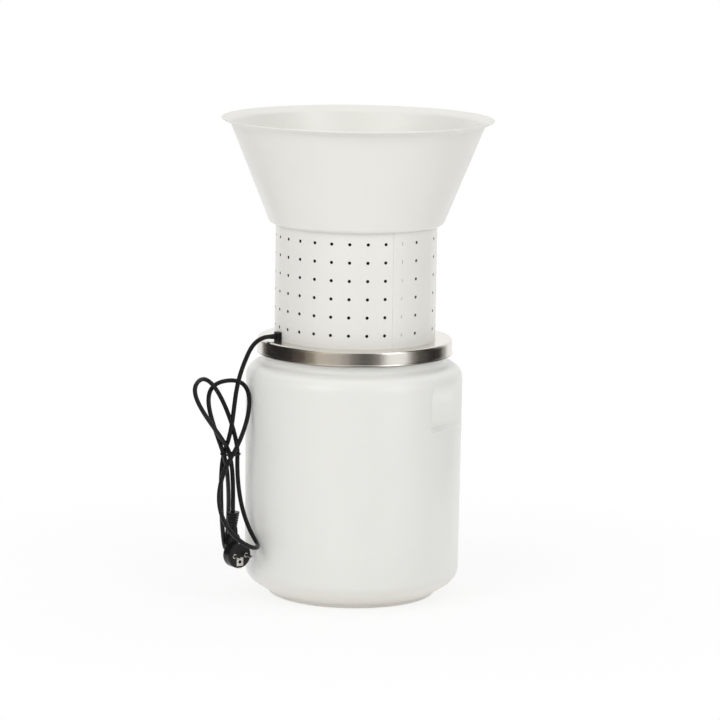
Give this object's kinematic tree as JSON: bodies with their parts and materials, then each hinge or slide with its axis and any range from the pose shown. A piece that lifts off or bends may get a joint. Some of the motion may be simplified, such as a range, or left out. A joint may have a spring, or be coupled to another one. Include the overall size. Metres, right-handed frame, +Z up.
{
  "type": "electric grain mill",
  "caption": "Electric grain mill: a hopper feeds a hammer mill whose motor stands in a perforated housing; the head sits on a drum that collects the flour.",
  "frame": {"origin": "centre of the drum's foot, on the floor", "axes": "+Z up, +X to the right and -Y to the front as the picture shows it; every ring turns about Z"},
  "size_m": [0.4203, 0.3874, 0.685],
  "materials": {
    "drum_plastic": "satin",
    "white_paint": "satin",
    "stainless": "brushed",
    "zinc_steel": "matt",
    "cast_alloy": "cast",
    "lamination": "matt",
    "copper_wire": "varnished",
    "copper_bars": "turned",
    "brass": "satin",
    "carbon": "matt",
    "ground_steel": "ground",
    "felt": "matt",
    "seal_rubber": "matt",
    "black_plastic": "satin",
    "fan_plastic": "matt",
    "cap_plastic": "satin",
    "ivory_plastic": "matt",
    "lead_cover": "matt",
    "rocker_red": "gloss",
    "cord_black": "satin",
    "plug_black": "satin",
    "plated": "plated"
  },
  "bodies": {
    "drum_body": {"drum": "drum_plastic"},
    "mill_head": {"drum_seal": "seal_rubber", "lid_pan": "stainless", "housing": "white_paint", "housing_ring": "zinc_steel", "housing_screws": "zinc_steel", "top_deck": "zinc_steel", "hopper": "white_paint", "hopper_screws": "zinc_steel", "gate_rails": "zinc_steel", "feed_tube": "zinc_steel", "motor_foot": "cast_alloy", "motor_cap": "cast_alloy", "stator_core": "lamination", "field_coils": "copper_wire", "motor_bolts": "zinc_steel", "lower_bearing": "ground_steel", "upper_bearing": "ground_steel", "shaft_seal": "felt", "brush_holders": "brass", "carbon_brushes": "carbon", "brush_springs": "ground_steel", "chamber_ring": "stainless", "chamber_floor": "stainless", "chamber_bolts": "zinc_steel", "capacitor": "cap_plastic", "terminal_block": "ivory_plastic", "cord_clamp": "black_plastic", "inner_leads": "lead_cover", "switch_frame": "black_plastic", "cord_gland": "black_plastic", "cord_lead": "cord_black", "cord_hank": "cord_black", "cord_tie": "black_plastic", "plug_body": "plug_black", "plug_relief": "plug_black", "plug_pins": "plated", "plug_clips": "plated"},
    "rotor": {"motor_shaft": "ground_steel", "armature_core": "lamination", "armature_coils": "copper_wire", "commutator": "copper_bars", "cooling_fan": "fan_plastic", "beater_hub": "ground_steel", "beater_bar": "ground_steel", "beater_nut": "zinc_steel"},
    "gate": {"feed_gate": "stainless"},
    "rocker": {"switch_rocker": "rocker_red"}
  },
  "joints": [
    {"name": "head_lift", "type": "slide", "parent": "drum_body", "child": "mill_head", "axis": [0, 0, 1], "range_m": [0, 0.16]},
    {"name": "motor_spin", "type": "hinge", "parent": "mill_head", "child": "rotor", "pos_m": [0, 0, 0.44], "axis": [0, 0, 1], "continuous": true},
    {"name": "feed_gate_slide", "type": "slide", "parent": "mill_head", "child": "gate", "axis": [0, -1, 0], "range_m": [0, 0.044]},
    {"name": "switch_rock", "type": "hinge", "parent": "mill_head", "child": "rocker", "pos_m": [-0.06335, 0.09357, 0.4413], "axis": [0.828, 0.5607, 0], "range_deg": [0, 18]}
  ]
}
